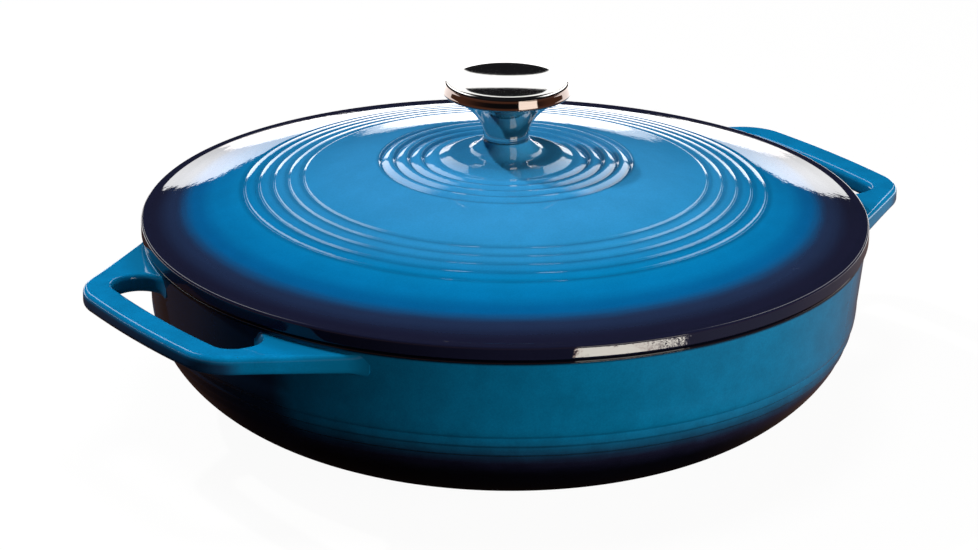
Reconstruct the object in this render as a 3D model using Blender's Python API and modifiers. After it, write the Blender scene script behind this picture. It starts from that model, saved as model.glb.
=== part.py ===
"""Covered cast-iron casserole.

A shallow enamelled pot with two loop handles cast on, a domed lid with two groups of
rings and a boss, and a polished knob that a screw and a split lock washer hold.
Metres, +Z up. The origin is the centre of the flat base, and the handles lie along X.
"""
import math

import bmesh
import bpy

MM = 0.001

# Facets round the large castings, the knob and the small turned pieces
CASTING_STEPS = 60
KNOB_STEPS = 40
FASTENER_STEPS = 32

# Facets along the curves of the profiles and outlines
INNER_CORNER_FACETS = 10
UPPER_CORNER_FACETS = 3
LOWER_CORNER_FACETS = 9
SMALL_ROUND_FACETS = 3
LOOP_CORNER_FACETS = 5
OPENING_CORNER_FACETS = 4
CROWN_FACETS = 5
UNDERSIDE_FACETS = 9
BOSS_FACETS = 7
KNOB_TOP_FACETS = 4
STEM_FACETS = 8
HEAD_FACETS = 5

# Edges sharper than this stay crisp, and those of a plate are rounded
CREASE_ANGLE = math.radians(32.0)
PLATE_EDGE_ANGLE = math.radians(60.0)

# Points closer than this are one point
WELD = 0.001 * MM

# Clearance between pieces that rest on each other
SEAT_GAP = 0.3 * MM

# Pot: a flat base, an elliptic corner and a wall that leans out a little
BASE_RADIUS = 73.3 * MM
CORNER_WIDTH = 73.0 * MM
CORNER_HEIGHT = 53.0 * MM
WALL_LEAN = 2.7 * MM
POT_HEIGHT = 78.4 * MM
WALL = 4.4 * MM
FLOOR = 5.0 * MM
RIM_ROUND = 1.6 * MM
RIM_INNER_CHAMFER = 0.6 * MM

# Shallow grooves round the pot, counted down from the top of its corner
WALL_RING_COUNT = 3
WALL_RING_DROP = 8.8 * MM
WALL_RING_PITCH = 4.4 * MM
WALL_RING_HALF = 1.1 * MM
WALL_RING_DEPTH = 0.4 * MM

# Loop handles: how far they stand out from the rim, plan of the loop and its bar
HANDLE_STANDOFF = 31.2 * MM
HANDLE_BOW = 2.6 * MM
HANDLE_TIP_HALF = 46.0 * MM
HANDLE_FLARE = math.radians(31.3)
HANDLE_CORNER_RADIUS = 22.0 * MM
HANDLE_BAR = 13.0 * MM
OPENING_HALF = 45.5 * MM
OPENING_RADIUS = 9.0 * MM
OPENING_ROOT_RADIUS = 11.0 * MM
HANDLE_THICKNESS = 7.8 * MM
HANDLE_BELOW_RIM = 3.1 * MM
HANDLE_EDGE_ROUND = 2.4 * MM

# Lid: a crown on a short skirt that overhangs the pot, and a lip that drops inside it
LID_OVERHANG = 1.0 * MM
LID_SKIRT = 4.9 * MM
SKIRT_CHAMFER = 0.6 * MM
LID_THICKNESS = 4.0 * MM
LIP_CLEARANCE = 1.4 * MM
LIP_THICKNESS = 4.0 * MM
LIP_DEPTH = 6.0 * MM
LIP_CHAMFER = 0.8 * MM

# Crown line of the lid: how far it has fallen from its top at each radius
CROWN_RISE = 25.0 * MM
PLATEAU_RADIUS = 36.0 * MM
PLATEAU_FALL = 0.3 * MM
SHOULDER_RADIUS = 52.0 * MM
SHOULDER_FALL = 1.6 * MM
SLOPE_RADIUS = 82.0 * MM
SLOPE_FALL = 8.0 * MM
OUTER_SLOPE_RADIUS = 110.0 * MM
OUTER_SLOPE_FALL = 13.9 * MM
EDGE_SLOPE = 0.29

# Two groups of rings on the crown, each ring a long inner flank and a short outer one
RING_PITCH = 5.85 * MM
RING_SHORT_FLANK = 0.9 * MM
INNER_RING_COUNT = 4
INNER_RING_FIRST = 33.5 * MM
INNER_RING_FLANK = 3.0 * MM
INNER_RING_DEPTH = 0.5 * MM
OUTER_RING_COUNT = 5
OUTER_RING_FIRST = 84.0 * MM
OUTER_RING_FLANK = 2.2 * MM
OUTER_RING_DEPTH = 0.4 * MM

# Boss under the knob: a concave cone with a small bevel at its top
BOSS_TOP_RADIUS = 9.9 * MM
BOSS_FOOT_RADIUS = 27.9 * MM
BOSS_HEIGHT = 8.1 * MM
BOSS_CURVE = 2.8
BOSS_EDGE = 0.5 * MM
WASHER_PAD_RADIUS = 10.0 * MM

# Knob: a disc on a stem that flares into its underside
KNOB_RADIUS = 26.2 * MM
KNOB_HEIGHT = 25.4 * MM
KNOB_CROWN = 0.8 * MM
KNOB_BAND = 3.6 * MM
KNOB_TOP_EDGE = 0.5 * MM
KNOB_LOWER_EDGE = 1.1 * MM
STEM_RADIUS = 9.4 * MM
STEM_CURVE = 2.3

# Screw and lock washer under the lid
SCREW_RADIUS = 3.0 * MM
SCREW_REACH = 12.0 * MM
SCREW_TIP_CHAMFER = 0.6 * MM
HEAD_RADIUS = 5.9 * MM
HEAD_SIDE = 1.6 * MM
HEAD_DOME = 1.7 * MM
RECESS_WIDTH = 1.3 * MM
RECESS_LENGTH = 6.2 * MM
RECESS_DEPTH = 2.0 * MM
WASHER_RADIUS = 5.7 * MM
WASHER_THICKNESS = 1.5 * MM
WASHER_SPLIT = 1.0 * MM
WASHER_SPLIT_SLANT = math.radians(25.0)
HOLE_CLEARANCE = 0.4 * MM
TAPPED_DEPTH = 15.0 * MM
DRILL_POINT = 1.6 * MM

# Heights and radii that follow from the sizes above
TOP_OF_CORNER_RADIUS = BASE_RADIUS + CORNER_WIDTH
POT_RADIUS = TOP_OF_CORNER_RADIUS + WALL_LEAN
HANDLE_REACH = POT_RADIUS + HANDLE_STANDOFF
LID_RADIUS = POT_RADIUS + LID_OVERHANG
LIP_RADIUS = POT_RADIUS - WALL - LIP_CLEARANCE
LID_BOTTOM = POT_HEIGHT + SEAT_GAP
SKIRT_TOP = LID_BOTTOM + LID_SKIRT
CROWN_TOP = SKIRT_TOP + CROWN_RISE
BOSS_TOP = CROWN_TOP + BOSS_HEIGHT
WASHER_SEAT = CROWN_TOP - LID_THICKNESS
WASHER_TOP = WASHER_SEAT - SEAT_GAP
WASHER_BOTTOM = WASHER_TOP - WASHER_THICKNESS
HEAD_TOP = WASHER_BOTTOM - SEAT_GAP
HEAD_BOTTOM = HEAD_TOP - HEAD_SIDE - HEAD_DOME
KNOB_BOTTOM = BOSS_TOP + SEAT_GAP
KNOB_TOP = KNOB_BOTTOM + KNOB_HEIGHT
HANDLE_TOP = POT_HEIGHT - HANDLE_BELOW_RIM
HANDLE_BOTTOM = HANDLE_TOP - HANDLE_THICKNESS
HOLE_RADIUS = SCREW_RADIUS + HOLE_CLEARANCE

ENAMEL_BLUE = (0.012, 0.165, 0.402)
STEEL = (0.72, 0.71, 0.69)
ZINC = (0.55, 0.56, 0.57)


# Scene helpers

def clear_scene():
    """Removes the objects that the scene starts with."""
    for old in list(bpy.data.objects):
        bpy.data.objects.remove(old, do_unlink=True)


def new_collection(name):
    """A collection linked to the scene."""
    collection = bpy.data.collections.new(name)
    bpy.context.scene.collection.children.link(collection)
    return collection


def new_material(name, colour, roughness, metallic):
    """A Principled material."""
    result = bpy.data.materials.new(name)
    result.use_nodes = True
    shader = result.node_tree.nodes["Principled BSDF"]
    shader.inputs["Base Color"].default_value = (*colour, 1.0)
    shader.inputs["Roughness"].default_value = roughness
    shader.inputs["Metallic"].default_value = metallic
    return result


def new_object(name, data, collection):
    """An object that holds the data, in the collection."""
    result = bpy.data.objects.new(name, data)
    collection.objects.link(result)
    return result


def evaluated_mesh(source):
    """A new mesh of the object as its modifiers leave it."""
    depsgraph = bpy.context.evaluated_depsgraph_get()
    return bpy.data.meshes.new_from_object(source.evaluated_get(depsgraph))


def add_boolean(target, cutter, operation):
    """Joins the cutter to the target, or cuts it out, and hides the cutter."""
    modifier = target.modifiers.new(cutter.name, "BOOLEAN")
    modifier.operation = operation
    modifier.solver = "EXACT"
    modifier.object = cutter
    cutter.hide_render = True
    cutter.display_type = "WIRE"


def turned(name, profile, steps, collection, closed=False):
    """A solid turned about Z from a list of (radius, height) points.

    The points run from the top of the axis outwards, down the outer side and back in.
    A closed profile leaves a hole along the axis.
    """
    mesh = bpy.data.meshes.new(name)
    edges = [(i, i + 1) for i in range(len(profile) - 1)]
    if closed:
        edges.append((len(profile) - 1, 0))
    mesh.from_pydata([(radius, 0.0, height) for radius, height in profile], edges, [])
    result = new_object(name, mesh, collection)
    screw = result.modifiers.new("turn", "SCREW")
    screw.axis = "Z"
    screw.steps = steps
    screw.render_steps = steps
    screw.use_merge_vertices = True
    screw.merge_threshold = WELD
    result.data = evaluated_mesh(result)
    result.modifiers.clear()
    result.data.shade_smooth()
    result.data.set_sharp_from_angle(angle=CREASE_ANGLE)
    return result


def block(name, size, location, rotation, collection):
    """A box of the given size, for use as a cutter."""
    mesh = bpy.data.meshes.new(name)
    shape = bmesh.new()
    bmesh.ops.create_cube(shape, size=1.0)
    bmesh.ops.scale(shape, vec=size, verts=shape.verts)
    shape.to_mesh(mesh)
    shape.free()
    result = new_object(name, mesh, collection)
    result.location = location
    result.rotation_euler = rotation
    return result


def arc(centre, radii, start, end, steps):
    """Points on an ellipse or a circle from one angle to another, both included."""
    angles = [start + (end - start) * i / steps for i in range(steps + 1)]
    return [(centre[0] + radii[0] * math.cos(a), centre[1] + radii[1] * math.sin(a)) for a in angles]


def between(first, last, parts):
    """The values that divide a span into equal parts, without its two ends."""
    return [first + (last - first) * i / parts for i in range(1, parts)]


# Pot

def wall_radius(height):
    """Outer radius of the pot on the leaning wall above its corner."""
    share = (height - CORNER_HEIGHT) / (POT_HEIGHT - CORNER_HEIGHT)
    return TOP_OF_CORNER_RADIUS + WALL_LEAN * share


def corner_angle(height):
    """Angle below the horizontal at which the outer corner has this height."""
    return math.asin((CORNER_HEIGHT - height) / CORNER_HEIGHT)


def corner_point(height, inset=0.0):
    """Point of the outer corner at this height, moved in by the inset."""
    return (BASE_RADIUS + CORNER_WIDTH * math.cos(corner_angle(height)) - inset, height)


def outer_corner():
    """The outer corner from the wall down to the base, with its grooves."""
    first = CORNER_HEIGHT - WALL_RING_DROP
    last = first - (WALL_RING_COUNT - 1) * WALL_RING_PITCH
    centre = (BASE_RADIUS, CORNER_HEIGHT)
    radii = (CORNER_WIDTH, CORNER_HEIGHT)
    points = arc(centre, radii, 0.0, -corner_angle(first + WALL_RING_HALF), UPPER_CORNER_FACETS)[:-1]
    for ring in range(WALL_RING_COUNT):
        height = first - ring * WALL_RING_PITCH
        points.append(corner_point(height + WALL_RING_HALF))
        points.append(corner_point(height, WALL_RING_DEPTH))
        points.append(corner_point(height - WALL_RING_HALF))
    lowest = -corner_angle(last - WALL_RING_HALF)
    points += arc(centre, radii, lowest, -math.pi / 2, LOWER_CORNER_FACETS)[1:]
    return points


def pot_profile():
    """From the middle of the floor up the inside, over the rim and down the outside."""
    inner_radii = (CORNER_WIDTH - WALL, CORNER_HEIGHT - FLOOR)
    centre = (BASE_RADIUS, CORNER_HEIGHT)
    inside = arc(centre, inner_radii, -math.pi / 2, 0.0, INNER_CORNER_FACETS)
    mouth = POT_RADIUS - WALL
    rim = [(mouth, POT_HEIGHT - RIM_INNER_CHAMFER), (mouth + RIM_INNER_CHAMFER, POT_HEIGHT)]
    round_centre = (POT_RADIUS - RIM_ROUND, POT_HEIGHT - RIM_ROUND)
    rim += arc(round_centre, (RIM_ROUND, RIM_ROUND), math.pi / 2, 0.0, SMALL_ROUND_FACETS)
    return [(0.0, FLOOR)] + inside + rim + outer_corner() + [(0.0, 0.0)]


def bar_side(reach, side):
    """Distance from the axis of a bowed handle side, at this distance from its middle."""
    return reach - HANDLE_BOW * (side / HANDLE_TIP_HALF) ** 2


def mirrored(half):
    """A closed outline from its half at positive Y, which starts on the X axis."""
    return half + [(x, -y) for x, y in reversed(half[1:])]


def loop_outline():
    """Outer outline of the loop: bowed bar, rounded corner and a side that flares out."""
    turn = math.pi / 2 - HANDLE_FLARE
    start = HANDLE_TIP_HALF - HANDLE_CORNER_RADIUS * math.tan(turn / 2)
    bow = [(bar_side(HANDLE_REACH, side), side) for side in (0.0, start / 2)]
    centre = (bar_side(HANDLE_REACH, start) - HANDLE_CORNER_RADIUS, start)
    radii = (HANDLE_CORNER_RADIUS, HANDLE_CORNER_RADIUS)
    corner = arc(centre, radii, 0.0, turn, LOOP_CORNER_FACETS)
    end_x, end_y = corner[-1]
    way_x, way_y = -math.cos(HANDLE_FLARE), math.sin(HANDLE_FLARE)
    along = end_x * way_x + end_y * way_y
    root = POT_RADIUS - WALL
    length = -along - math.sqrt(along ** 2 - end_x ** 2 - end_y ** 2 + root ** 2)
    return mirrored(bow + corner + [(end_x + length * way_x, end_y + length * way_y)])


def opening_outline():
    """Outline of the finger opening, whose inner side is the pot's wall.

    The rounding beside the wall is as large as stated, or as the opening has room for.
    """
    straight = OPENING_HALF - OPENING_RADIUS
    inner_reach = HANDLE_REACH - HANDLE_BAR
    bow = [(bar_side(inner_reach, side), side) for side in (0.0, straight / 2)]
    centre = (bar_side(inner_reach, straight) - OPENING_RADIUS, straight)
    radii = (OPENING_RADIUS, OPENING_RADIUS)
    corner = arc(centre, radii, 0.0, math.pi / 2, OPENING_CORNER_FACETS)
    wall = wall_radius(HANDLE_BOTTOM)
    room = (centre[0] ** 2 - wall ** 2 + OPENING_HALF ** 2) / (2 * (wall + OPENING_HALF))
    root_radius = min(OPENING_ROOT_RADIUS, room)
    root_side = OPENING_HALF - root_radius
    root_centre = (math.sqrt((wall + root_radius) ** 2 - root_side ** 2), root_side)
    lean = math.atan2(root_centre[1], root_centre[0])
    root_radii = (root_radius, root_radius)
    root = arc(root_centre, root_radii, math.pi / 2, math.pi + lean, OPENING_CORNER_FACETS)
    inside = ((wall - WALL) * math.cos(lean), (wall - WALL) * math.sin(lean))
    return mirrored(bow + corner + root + [inside])


def loop_plate(name, cutters):
    """The loop of one handle as a flat plate with rounded edges, reaching into the wall."""
    outline = bpy.data.curves.new(name, "CURVE")
    outline.dimensions = "2D"
    outline.fill_mode = "BOTH"
    outline.extrude = HANDLE_THICKNESS / 2
    for points in (loop_outline(), opening_outline()):
        spline = outline.splines.new("POLY")
        spline.points.add(len(points) - 1)
        spline.use_cyclic_u = True
        for knot, (x, y) in zip(spline.points, points):
            knot.co = (x, y, 0.0, 1.0)
    drawn = new_object(name + "_outline", outline, cutters)
    mesh = evaluated_mesh(drawn)
    bpy.data.objects.remove(drawn, do_unlink=True)
    welded = bmesh.new()
    welded.from_mesh(mesh)
    bmesh.ops.remove_doubles(welded, verts=welded.verts, dist=WELD)
    welded.to_mesh(mesh)
    welded.free()
    result = new_object(name, mesh, cutters)
    edges = result.modifiers.new("rounded_edges", "BEVEL")
    edges.width = HANDLE_EDGE_ROUND
    edges.segments = SMALL_ROUND_FACETS
    edges.limit_method = "ANGLE"
    edges.angle_limit = PLATE_EDGE_ANGLE
    return result


def wall_core(cutters):
    """A solid that ends in the middle of the pot's wall, beside the handles."""
    top = HANDLE_TOP + HANDLE_THICKNESS
    bottom = HANDLE_BOTTOM - HANDLE_THICKNESS
    inset = WALL / 2
    profile = [
        (0.0, top), (wall_radius(top) - inset, top),
        (wall_radius(bottom) - inset, bottom), (0.0, bottom),
    ]
    return turned("wall_core", profile, CASTING_STEPS, cutters)


def build_pot(part, cutters):
    """The pot with its two loop handles cast on."""
    pot = turned("pot", pot_profile(), CASTING_STEPS, part)
    core = wall_core(cutters)
    for side, turn in (("right", 0.0), ("left", math.pi)):
        loop = loop_plate("loop_" + side, cutters)
        loop.location = (0.0, 0.0, HANDLE_TOP - HANDLE_THICKNESS / 2)
        loop.rotation_euler = (0.0, 0.0, turn)
        add_boolean(loop, core, "DIFFERENCE")
        add_boolean(pot, loop, "UNION")
    return pot


# Lid

def crown_height(radius):
    """Height of the lid's crown line at a radius, a smooth curve through its stations."""
    stations = [
        (0.0, 0.0), (PLATEAU_RADIUS, PLATEAU_FALL), (SHOULDER_RADIUS, SHOULDER_FALL),
        (SLOPE_RADIUS, SLOPE_FALL), (OUTER_SLOPE_RADIUS, OUTER_SLOPE_FALL), (LID_RADIUS, CROWN_RISE),
    ]
    slopes = [0.0]
    for before, after in zip(stations, stations[2:]):
        slopes.append((after[1] - before[1]) / (after[0] - before[0]))
    slopes.append(EDGE_SLOPE)
    part = 0
    while part < len(stations) - 2 and radius > stations[part + 1][0]:
        part += 1
    (start, low), (end, high) = stations[part], stations[part + 1]
    span = end - start
    t = (radius - start) / span
    fall = low * (1 + 2 * t) * (1 - t) ** 2 + high * t * t * (3 - 2 * t)
    fall += span * t * (1 - t) * (slopes[part] * (1 - t) - slopes[part + 1] * t)
    return CROWN_TOP - fall


def on_crown(radius, sunk=0.0):
    """Point on the crown line, or below it by the given depth."""
    return (radius, crown_height(radius) - sunk)


def crown_rings(first, count, flank, depth):
    """Points of one group of rings from the innermost out."""
    points = []
    for ring in range(count):
        bottom = first + ring * RING_PITCH
        land = bottom + RING_SHORT_FLANK
        points += [on_crown(bottom - flank), on_crown(bottom, depth), on_crown(land)]
    return points


def boss_side():
    """The boss from its top edge down its concave side to its foot on the crown."""
    foot = crown_height(BOSS_FOOT_RADIUS)
    points = [(BOSS_TOP_RADIUS - BOSS_EDGE, BOSS_TOP)]
    for step in range(BOSS_FACETS + 1):
        share = step / BOSS_FACETS
        radius = BOSS_TOP_RADIUS + (BOSS_FOOT_RADIUS - BOSS_TOP_RADIUS) * share
        points.append((radius, foot + (BOSS_TOP - BOSS_EDGE - foot) * (1 - share) ** BOSS_CURVE))
    return points


def lid_profile():
    """From the hole's top edge over the crown, down the skirt and back underneath."""
    inner_end = INNER_RING_FIRST + (INNER_RING_COUNT - 1) * RING_PITCH + RING_SHORT_FLANK
    outer_start = OUTER_RING_FIRST - OUTER_RING_FLANK
    outer_end = OUTER_RING_FIRST + (OUTER_RING_COUNT - 1) * RING_PITCH + RING_SHORT_FLANK
    top = [(HOLE_RADIUS, BOSS_TOP)] + boss_side()
    top += crown_rings(INNER_RING_FIRST, INNER_RING_COUNT, INNER_RING_FLANK, INNER_RING_DEPTH)
    top += [on_crown(radius) for radius in between(inner_end, outer_start, CROWN_FACETS)]
    top += crown_rings(OUTER_RING_FIRST, OUTER_RING_COUNT, OUTER_RING_FLANK, OUTER_RING_DEPTH)
    top += [on_crown(radius) for radius in between(outer_end, LID_RADIUS, CROWN_FACETS)]
    skirt = [(LID_RADIUS, SKIRT_TOP), (LID_RADIUS, LID_BOTTOM + SKIRT_CHAMFER)]
    skirt.append((LID_RADIUS - SKIRT_CHAMFER, LID_BOTTOM))
    lip_bottom = LID_BOTTOM - LIP_DEPTH
    lip_inner = LIP_RADIUS - LIP_THICKNESS
    lip = [(LIP_RADIUS, LID_BOTTOM), (LIP_RADIUS, lip_bottom + LIP_CHAMFER)]
    lip += [(LIP_RADIUS - LIP_CHAMFER, lip_bottom), (lip_inner + LIP_CHAMFER, lip_bottom)]
    lip += [(lip_inner, lip_bottom + LIP_CHAMFER), on_crown(lip_inner, LID_THICKNESS)]
    under_radii = between(lip_inner, WASHER_PAD_RADIUS, UNDERSIDE_FACETS)
    under = [on_crown(radius, LID_THICKNESS) for radius in under_radii]
    pad = [(WASHER_PAD_RADIUS, WASHER_SEAT), (HOLE_RADIUS, WASHER_SEAT)]
    return top + skirt + lip + under + pad


def build_lid(part):
    """The lid casting."""
    return turned("lid", lid_profile(), CASTING_STEPS, part, closed=True)


# Knob, screw and washer

def knob_profile():
    """From the middle of the top over the edge, down the stem and up the tapped hole."""
    edge_height = KNOB_TOP - KNOB_CROWN
    top_radius = KNOB_RADIUS - KNOB_TOP_EDGE
    shares = [i / KNOB_TOP_FACETS for i in range(KNOB_TOP_FACETS)]
    top = [(top_radius * share, KNOB_TOP - KNOB_CROWN * share ** 2) for share in shares]
    edge_centre = (top_radius, edge_height - KNOB_TOP_EDGE)
    edge = arc(edge_centre, (KNOB_TOP_EDGE, KNOB_TOP_EDGE), math.pi / 2, 0.0, SMALL_ROUND_FACETS)
    lower_radius = KNOB_RADIUS - KNOB_LOWER_EDGE
    lower_centre = (lower_radius, edge_height - KNOB_TOP_EDGE - KNOB_BAND)
    lower_radii = (KNOB_LOWER_EDGE, KNOB_LOWER_EDGE)
    lower = arc(lower_centre, lower_radii, 0.0, -math.pi / 2, SMALL_ROUND_FACETS)
    under_height = lower[-1][1]
    stem = []
    for share in reversed(between(0.0, 1.0, STEM_FACETS)):
        radius = STEM_RADIUS + (lower_radius - STEM_RADIUS) * share ** STEM_CURVE
        stem.append((radius, KNOB_BOTTOM + (under_height - KNOB_BOTTOM) * share))
    bore_end = KNOB_BOTTOM + TAPPED_DEPTH
    bore = [(HOLE_RADIUS, KNOB_BOTTOM), (HOLE_RADIUS, bore_end), (0.0, bore_end + DRILL_POINT)]
    return top + edge + lower + stem + [(STEM_RADIUS, KNOB_BOTTOM)] + bore


def build_knob(part):
    """The knob, whose stem stands on the boss."""
    return turned("knob", knob_profile(), KNOB_STEPS, part)


def screw_profile():
    """From the shank's tip down to the pan head under the washer."""
    tip = KNOB_BOTTOM + SCREW_REACH
    shank = [(0.0, tip), (SCREW_RADIUS - SCREW_TIP_CHAMFER, tip), (SCREW_RADIUS, tip - SCREW_TIP_CHAMFER)]
    shank.append((SCREW_RADIUS, HEAD_TOP))
    dome_centre = (0.0, HEAD_TOP - HEAD_SIDE)
    dome = arc(dome_centre, (HEAD_RADIUS, HEAD_DOME), 0.0, -math.pi / 2, HEAD_FACETS)
    return shank + [(HEAD_RADIUS, HEAD_TOP)] + dome


def build_screw(part, cutters):
    """The pan head screw with its cross recess."""
    screw = turned("knob_screw", screw_profile(), FASTENER_STEPS, part)
    recess_middle = (0.0, 0.0, HEAD_BOTTOM)
    size = (RECESS_LENGTH, RECESS_WIDTH, 2 * RECESS_DEPTH)
    for turn in (0.0, math.pi / 2):
        slot = block("recess", size, recess_middle, (0.0, 0.0, turn), cutters)
        add_boolean(screw, slot, "DIFFERENCE")
    return screw


def build_washer(part, cutters):
    """The lock washer, a flat ring with a slanted split."""
    profile = [
        (HOLE_RADIUS, WASHER_TOP), (WASHER_RADIUS, WASHER_TOP),
        (WASHER_RADIUS, WASHER_BOTTOM), (HOLE_RADIUS, WASHER_BOTTOM),
    ]
    washer = turned("lock_washer", profile, FASTENER_STEPS, part, closed=True)
    size = (WASHER_RADIUS, WASHER_SPLIT, 4 * WASHER_THICKNESS)
    location = (WASHER_RADIUS, 0.0, (WASHER_TOP + WASHER_BOTTOM) / 2)
    split = block("split", size, location, (WASHER_SPLIT_SLANT, 0.0, 0.0), cutters)
    add_boolean(washer, split, "DIFFERENCE")
    return washer


def main():
    """Builds the five pieces."""
    clear_scene()
    part = new_collection("covered_casserole")
    cutters = new_collection("cutters")
    pieces = {
        "blue_enamel": [build_pot(part, cutters), build_lid(part)],
        "polished_steel": [build_knob(part)],
        "zinc_plate": [build_screw(part, cutters), build_washer(part, cutters)],
    }
    looks = {
        "blue_enamel": (ENAMEL_BLUE, 0.12, 0.0),
        "polished_steel": (STEEL, 0.08, 1.0),
        "zinc_plate": (ZINC, 0.35, 1.0),
    }
    for finish, group in pieces.items():
        for piece in group:
            piece.data.materials.append(new_material(piece.name + "_" + finish, *looks[finish]))


main()
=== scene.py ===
"""Looks of the covered casserole: blue enamelled pot and lid, polished knob, zinc screw.

Metres, +Z up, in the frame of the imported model. Sizes are written in millimetres and
repeat those of the part's source, with the small roundings that its solids leave out.
"""
import math
from collections import namedtuple

import bmesh
import bpy
from mathutils import Matrix, Vector

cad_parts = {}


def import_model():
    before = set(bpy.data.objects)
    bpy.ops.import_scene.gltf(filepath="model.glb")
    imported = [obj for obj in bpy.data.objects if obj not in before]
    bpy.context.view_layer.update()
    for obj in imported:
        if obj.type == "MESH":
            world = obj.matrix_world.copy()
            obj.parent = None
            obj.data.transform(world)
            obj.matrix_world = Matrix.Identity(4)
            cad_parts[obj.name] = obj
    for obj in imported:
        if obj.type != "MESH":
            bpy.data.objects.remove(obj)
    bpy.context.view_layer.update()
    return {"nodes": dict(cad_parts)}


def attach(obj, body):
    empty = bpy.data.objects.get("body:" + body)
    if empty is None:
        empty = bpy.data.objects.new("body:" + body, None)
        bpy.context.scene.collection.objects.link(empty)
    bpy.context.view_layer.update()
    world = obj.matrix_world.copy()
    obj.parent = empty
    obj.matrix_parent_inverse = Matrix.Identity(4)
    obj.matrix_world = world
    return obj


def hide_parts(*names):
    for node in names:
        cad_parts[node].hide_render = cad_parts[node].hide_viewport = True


MM = 0.001
WELD = 0.0005 * MM

# Pot
BASE_RADIUS = 73.3
CORNER_WIDTH = 73.0
CORNER_HEIGHT = 53.0
WALL_LEAN = 2.7
POT_HEIGHT = 78.4
WALL = 4.4
POT_FLOOR = 5.0
POT_RADIUS = BASE_RADIUS + CORNER_WIDTH + WALL_LEAN
BARE_RIM_POINTS = 10
GROOVES_TOP = 47.0
GROOVES_BOTTOM = 31.6

# A group of ring grooves: the first one's place, how many, and the widths of a groove's sides.
# On the lid a place is a radius; on the pot it is a height, counted downwards.
STEP_RINGS = {"First": -44.2, "Count": 3, "Pitch": 4.4, "Lead in": 1.2, "Lead out": 3.1, "Depth": 0.8}

# Loop handles
HANDLE_REACH = POT_RADIUS + 31.2
HANDLE_BOW = 2.6
HANDLE_TIP_HALF = 46.0
HANDLE_FLARE = math.radians(31.3)
HANDLE_CORNER = 22.0
HANDLE_BAR = 13.0
OPENING_HALF = 45.5
OPENING_CORNER = 9.0
OPENING_ROOT = 11.0
OUTER_ROOT = 26.0
HANDLE_THICKNESS = 7.8
HANDLE_TOP = POT_HEIGHT - 3.1
HANDLE_ROUND = 2.4
HANDLE_MIDDLE = HANDLE_TOP - HANDLE_THICKNESS / 2
ROOT_RISE = 0.7
ROOT_SLOPE = 1.6
OUTER_ROOT_SHARE = 0.86
OPENING_ROOT_SHARE = 0.9
HANDLE_SUNK = 2.2
BOW_PARTS, CORNER_PARTS, ROOT_PARTS = 14, 16, 40
ROOT_GATHER = 1.6

# Lid
LID_RADIUS = POT_RADIUS + 1.0
LID_BOTTOM = POT_HEIGHT + 0.3
SKIRT_TOP = LID_BOTTOM + 4.9
CROWN_TOP = SKIRT_TOP + 25.0
LID_THICKNESS = 4.0
LIP_RADIUS = POT_RADIUS - WALL - 1.4
LIP_INNER = LIP_RADIUS - 4.0
LIP_BOTTOM = LID_BOTTOM - 6.0
FLANGE_RADIUS = 145.6
FLANGE_EDGE = SKIRT_TOP + 0.78
# Stations of the crown: radius, fall below the top, and slope
CROWN_FALL = [(0.0, 0.0, 0.0), (36.0, 0.3, 0.031), (52.0, 1.6, 0.167), (82.0, 8.0, 0.212),
              (110.0, 13.9, 0.25), (137.5, 21.85, 0.302), (140.5, 22.72, 0.275),
              (144.0, 23.7, 0.285), (LID_RADIUS, 25.4, 0.285)]
INNER_RINGS = {"First": 33.5, "Count": 4, "Pitch": 5.85, "Lead in": 3.0, "Lead out": 1.3, "Depth": 1.2}
OUTER_RINGS = {"First": 83.4, "Count": 5, "Pitch": 6.1, "Lead in": 1.0, "Lead out": 1.6, "Depth": 0.36}
BOSS_RADIUS = 9.9
BOSS_FOOT = 27.9
BOSS_TOP = CROWN_TOP + 8.1
# Stations of the boss's side: radius, height above the crown, and slope
BOSS_LINE = [(9.9, 7.6, -1.15), (16.8, 2.85, -0.14), (21.6, 2.4, -0.22), (23.2, 2.08, -0.44),
             (27.9, 0.0, -0.45)]
PAD_RADIUS = 10.0
HOLE_RADIUS = 3.4

# Knob
KNOB_RADIUS = 26.2
KNOB_BOTTOM = BOSS_TOP + 0.3
KNOB_TOP = KNOB_BOTTOM + 25.4
KNOB_CROWN = 0.8
KNOB_BAND = 3.6
KNOB_BORDER = 4.4
KNOB_BORDER_FALL = 1.4
KNOB_TAPER = 0.9
KNOB_BAND_ROUND = 0.6
KNOB_LOWER_ROUND = 1.1
STEM_RADIUS = 9.4
STEM_CURVE = 2.3
BORE_END = KNOB_BOTTOM + 15.0

# Coats of a casting, by their number in its profile
OUTSIDE, INSIDE, BARE = 0, 1, 2

# A point of a profile: its place in millimetres, its coat, and 1 where rings are sunk into it
ProfilePoint = namedtuple("ProfilePoint", "radius height coat ringed")

# Sockets of a material's tree that say where on the piece the surface is
Place = namedtuple("Place", "point radius toward height")

# Spacing of profile points, away from a groove's bottom and close to it
RING_STEP = 0.3
GROOVE_STEP = 0.15
GROOVE_HALF = 0.05

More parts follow.
